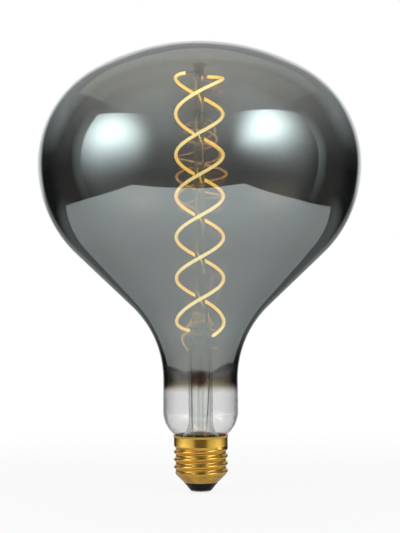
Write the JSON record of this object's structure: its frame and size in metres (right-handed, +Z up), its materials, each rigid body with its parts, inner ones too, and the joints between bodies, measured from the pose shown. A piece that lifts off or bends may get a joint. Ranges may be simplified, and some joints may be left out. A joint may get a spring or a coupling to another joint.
{
  "type": "led filament globe bulb",
  "caption": "Squat smoky globe bulb on a long neck, with LED filament strands wound in a double helix round a glass pillar, and a brass screw cap.",
  "frame": {"origin": "middle of the centre contact's face, the lowest point of the cap", "axes": "+Z up the bulb's axis from the contact to the top of the globe, -Y towards the viewer of the picture"},
  "size_m": [0.157, 0.157, 0.218],
  "materials": {
    "smoked_glass": "smoky mirror coat on glass, clear at the neck",
    "clear_glass": "clear, fire polished",
    "brass": "rolled sheet, polished",
    "black_glass": "black, glossy",
    "contact_metal": "tinned, satin",
    "cement": "matt",
    "filament_coat": "phosphor silicone, lit",
    "terminal_metal": "plated strip",
    "lead_wire": "drawn nickel wire",
    "seal_copper": "copper clad",
    "board": "glass fibre board with mask",
    "chip_plastic": "moulded",
    "capacitor_sleeve": "shrunk sleeve",
    "resistor_body": "lacquered"
  },
  "bodies": {
    "root": {"glass_envelope": "smoked_glass", "stem_flare": "clear_glass", "exhaust_tube": "clear_glass", "glass_pillar": "clear_glass", "screw_shell": "brass", "cap_insulator": "black_glass", "centre_contact": "contact_metal", "basing_cement": "cement", "filament_a": "filament_coat", "filament_b": "filament_coat", "top_terminal_a": "terminal_metal", "top_terminal_b": "terminal_metal", "foot_terminal_a": "terminal_metal", "foot_terminal_b": "terminal_metal", "bridge_wire": "lead_wire", "inner_lead_a": "lead_wire", "inner_lead_b": "lead_wire", "outer_lead_a": "lead_wire", "outer_lead_b": "lead_wire", "shell_lead": "lead_wire", "seal_wire_a": "seal_copper", "seal_wire_b": "seal_copper", "driver_board": "board", "bridge_rectifier": "chip_plastic", "current_regulator": "chip_plastic", "smoothing_capacitor": "capacitor_sleeve", "fuse_resistor": "resistor_body"}
  },
  "joints": []
}
